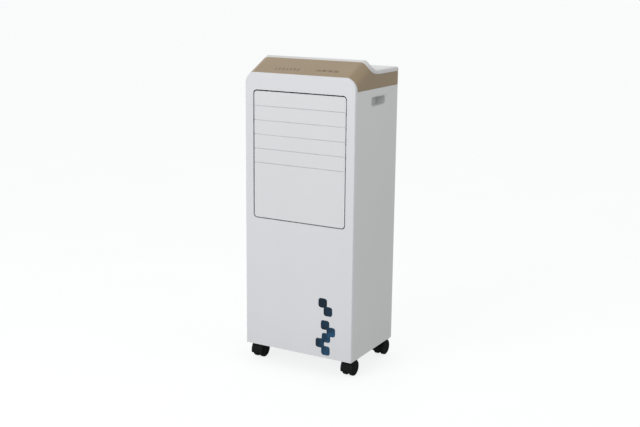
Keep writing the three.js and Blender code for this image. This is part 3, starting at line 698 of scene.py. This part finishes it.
def icon_moon(ink, u, v, size, width):
    outer = arc(u, v, 0.95 * size, 60, 330, 14)
    inner = arc(u + 0.42 * size, v + 0.12 * size, 0.72 * size, 318, 82, 10)
    ink.band(outer + inner, 0.7 * width, closed=True)


def icon_leaf(ink, u, v, size, width):
    right = arc(u - 0.55 * size, v, 1.1 * size, -58, 58, 8)
    left = arc(u + 0.55 * size, v, 1.1 * size, 122, 238, 8)
    ink.band((right + left)[1:-1], 0.7 * width, closed=True)
    ink.band([(u, v - 1.2 * size), (u, v + 0.4 * size)], 0.7 * width)


def key_cap(key, normal):
    """The middle of a key's outer face, whose normal is given."""
    corners = [v.co for v in nodes[key].data.vertices]
    top = max(corner.dot(normal) for corner in corners)
    cap = [corner for corner in corners if top - corner.dot(normal) < CAP_DEPTH]
    return sum(cap, Vector()) / len(cap)


def hood_skin(normal, near):
    """How far out the hood's slope lies along its normal, close to a point in the keys' row."""
    wide, deep = SLOPE_AREA
    corners = [v.co for v in nodes["control_hood"].data.vertices]
    return max(c.dot(normal) for c in corners if abs(c.x) < wide and abs(c.y - near.y) < deep)


def print_icons():
    """Generic symbols: one on each key, and left of the keys a row of indicators with lamp bars."""
    across = Vector((1, 0, 0))
    up = Vector((0, math.cos(SLOPE), math.sin(SLOPE)))
    normal = across.cross(up)
    for k, draw in enumerate((icon_fan, icon_swing, icon_timer, icon_power), 1):
        ink = Print(key_cap(f"key_{k}", normal) + normal * INK_GAP, across, up)
        draw(ink, 0, 0, *KEY_ICON)
        ink.piece(f"icon_key_{k}", f"key_{k}", "key_champagne")

    row = key_cap("key_1", normal)
    depth = hood_skin(normal, row) - row.dot(normal)
    ink = Print(row + normal * (depth + INK_GAP), across, up)
    indicators = (icon_fan, icon_drop, icon_moon, icon_leaf, icon_swing, icon_timer, icon_power)
    low, high = BAR_EDGES
    for i, draw in enumerate(indicators):
        u = ROW_START - row.x / MM + ROW_PITCH * i
        left, right = u - BAR_HALF, u + BAR_HALF
        draw(ink, u, ROW_LEVEL, *ROW_ICON)
        ink.blob([(left, low), (right, low), (right, high), (left, high)])
    ink.piece("icon_indicators", "cabinet", "champagne")


# ---------------------------------------------------------------- the rear panel's screws
SCREW_R = 3.6 * MM
SCREW_INSET = 8 * MM  # from the panel's side
SCREW_HEIGHTS = (0.245, 0.51, 0.775)
# Rings of vertices as (reach, height): the recess's in parts of its cross, the head's in radii.
RECESS_RINGS = [(0.72, -0.16), (1.0, 0.4)]
HEAD_RINGS = [(0.62, 0.385), (0.84, 0.3), (0.96, 0.17), (1.0, 0.0), (0.98, -0.05)]


def screw(name, place, outward, body):
    """A pan-head screw with a cross recess, its axis along outward."""
    shape = bmesh.new()
    turn = turned_to(outward).to_matrix()
    arm, half = 0.5 * SCREW_R, 0.13 * SCREW_R
    corner = math.degrees(math.atan2(half, arm))
    angles = [90 * q + a for q in range(4) for a in (-corner, 0, corner, 30, 45, 60)]

    def cross(angle):
        """How far the recess reaches at an angle."""
        a = math.radians(abs((angle + 45) % 90 - 45))
        return arm / math.cos(a) if a <= math.radians(corner) + 1e-6 else half / math.sin(a)

    def ring(height, reach):
        """Vertices at a height, as far out as reach says for each angle."""
        loop = []
        for angle in angles:
            x, y = heading(angle)
            point = Vector((reach(angle) * x, reach(angle) * y, height * SCREW_R))
            loop.append(shape.verts.new(Vector(place) + turn @ point))
        return loop

    loops = [ring(height, lambda angle: cross(angle) * reach) for reach, height in RECESS_RINGS]
    loops += [ring(height, lambda angle: SCREW_R * reach) for reach, height in HEAD_RINGS]
    for inner, outer in zip(loops, loops[1:]):
        for i in range(len(angles)):
            j = (i + 1) % len(angles)
            shape.faces.new((inner[i], inner[j], outer[j], outer[i]))
    shape.faces.new(loops[0])
    shape.faces.new(list(reversed(loops[-1])))
    flatten(from_shape(name, shape, zinc, body))


def rear_screws():
    """Three screws down each side of the rear panel."""
    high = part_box("rear_panel")[1]
    for x, label in ((SCREW_INSET - high.x, "left"), (high.x - SCREW_INSET, "right")):
        for i, height in enumerate(SCREW_HEIGHTS, 1):
            screw(f"rear_screw_{label}_{i}", (x, high.y, height), (0, 1, 0), "cabinet")


light_room()
lay_floor()
place_camera()
dress_nodes()
rounded_lid()
print_icons()
rear_screws()
